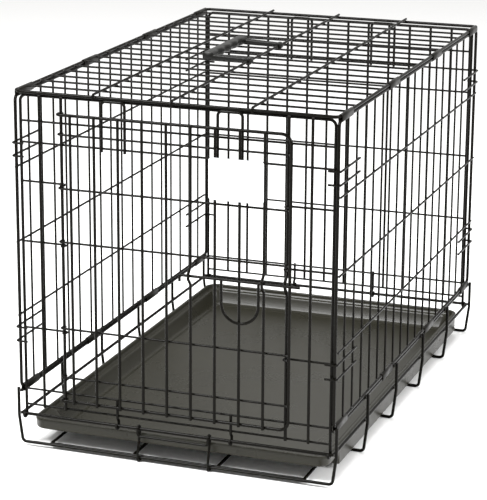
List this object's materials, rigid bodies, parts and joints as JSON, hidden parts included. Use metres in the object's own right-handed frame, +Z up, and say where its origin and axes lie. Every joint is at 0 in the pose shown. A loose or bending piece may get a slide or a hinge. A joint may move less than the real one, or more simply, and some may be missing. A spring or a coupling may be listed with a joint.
{
  "type": "wire dog crate",
  "caption": "Folding wire dog crate with a hinged front door, sliding bolt latch, fold-in end panels, carry handle and slide-in floor pan.",
  "frame": {"origin": "centre of the base of the bounding box, on the floor", "axes": "+Z up, +Y from the front door to the back, +X to the right as seen from the front"},
  "size_m": [0.4924, 0.7844, 0.5472],
  "materials": {
    "black_wire": "satin black coating",
    "clip_sheet": "satin black coated sheet",
    "plate": "plain white sheet",
    "pan": "smooth moulded plastic",
    "handle": "satin moulded plastic"
  },
  "bodies": {
    "crate": {"base_back_bow": "black_wire", "base_floor_bows": "black_wire", "base_floor_frame": "black_wire", "base_front_bow": "black_wire", "base_hinge_loop": "black_wire", "base_middle_runners": "black_wire", "base_side_rails": "black_wire", "floor_pan": "pan", "left_back_hooks": "black_wire", "left_front_hooks": "black_wire", "left_side_frame": "black_wire", "left_side_rails": "black_wire", "left_side_uprights": "black_wire", "lower_clips_left": "clip_sheet", "lower_clips_right": "clip_sheet", "right_back_hooks": "black_wire", "right_front_hooks": "black_wire", "right_side_frame": "black_wire", "right_side_rails": "black_wire", "right_side_uprights": "black_wire", "top_cross_wires": "black_wire", "top_frame": "black_wire", "top_long_wires": "black_wire", "upper_clips_left": "clip_sheet", "upper_clips_right": "clip_sheet"},
    "front_panel": {"front_cross_wires": "black_wire", "front_frame": "black_wire", "front_hinge_hooks": "black_wire", "front_hinge_post": "black_wire", "front_latch_post": "black_wire", "front_short_wires": "black_wire", "front_top_loops": "black_wire", "front_uprights": "black_wire"},
    "door": {"door_bolt_guides": "black_wire", "door_cross_wires": "black_wire", "door_frame": "black_wire", "door_plate": "plate", "door_uprights": "black_wire"},
    "latch": {"latch_bolt": "black_wire", "latch_pull": "black_wire"},
    "back_panel": {"back_cross_wires": "black_wire", "back_frame": "black_wire", "back_hinge_hooks": "black_wire", "back_top_loops": "black_wire", "back_uprights": "black_wire"},
    "carry_handle": {"carry_handle": "handle"},
    "pan_stop": {"pan_stop": "black_wire"}
  },
  "joints": [
    {"name": "front_panel_fold", "type": "hinge", "parent": "crate", "child": "front_panel", "pos_m": [0, -0.37198, 0.051], "axis": [-1, 0, 0], "range_deg": [0, 86]},
    {"name": "back_panel_fold", "type": "hinge", "parent": "crate", "child": "back_panel", "pos_m": [0, 0.38522, 0.051], "axis": [1, 0, 0], "range_deg": [0, 78]},
    {"name": "door_swing", "type": "hinge", "parent": "front_panel", "child": "door", "pos_m": [-0.1686, -0.37207, 0.29], "axis": [0, 0, 1], "range_deg": [-150, 0]},
    {"name": "latch_bolt_slide", "type": "slide", "parent": "door", "child": "latch", "axis": [1, 0, 0], "range_m": [-0.043, 0]},
    {"name": "carry_handle_swing", "type": "hinge", "parent": "crate", "child": "carry_handle", "pos_m": [0, 0.00662, 0.5366], "axis": [0, 1, 0], "range_deg": [0, 170]},
    {"name": "pan_stop_swing", "type": "hinge", "parent": "crate", "child": "pan_stop", "pos_m": [0, -0.37198, 0.051], "axis": [1, 0, 0], "range_deg": [-120, 0]}
  ]
}
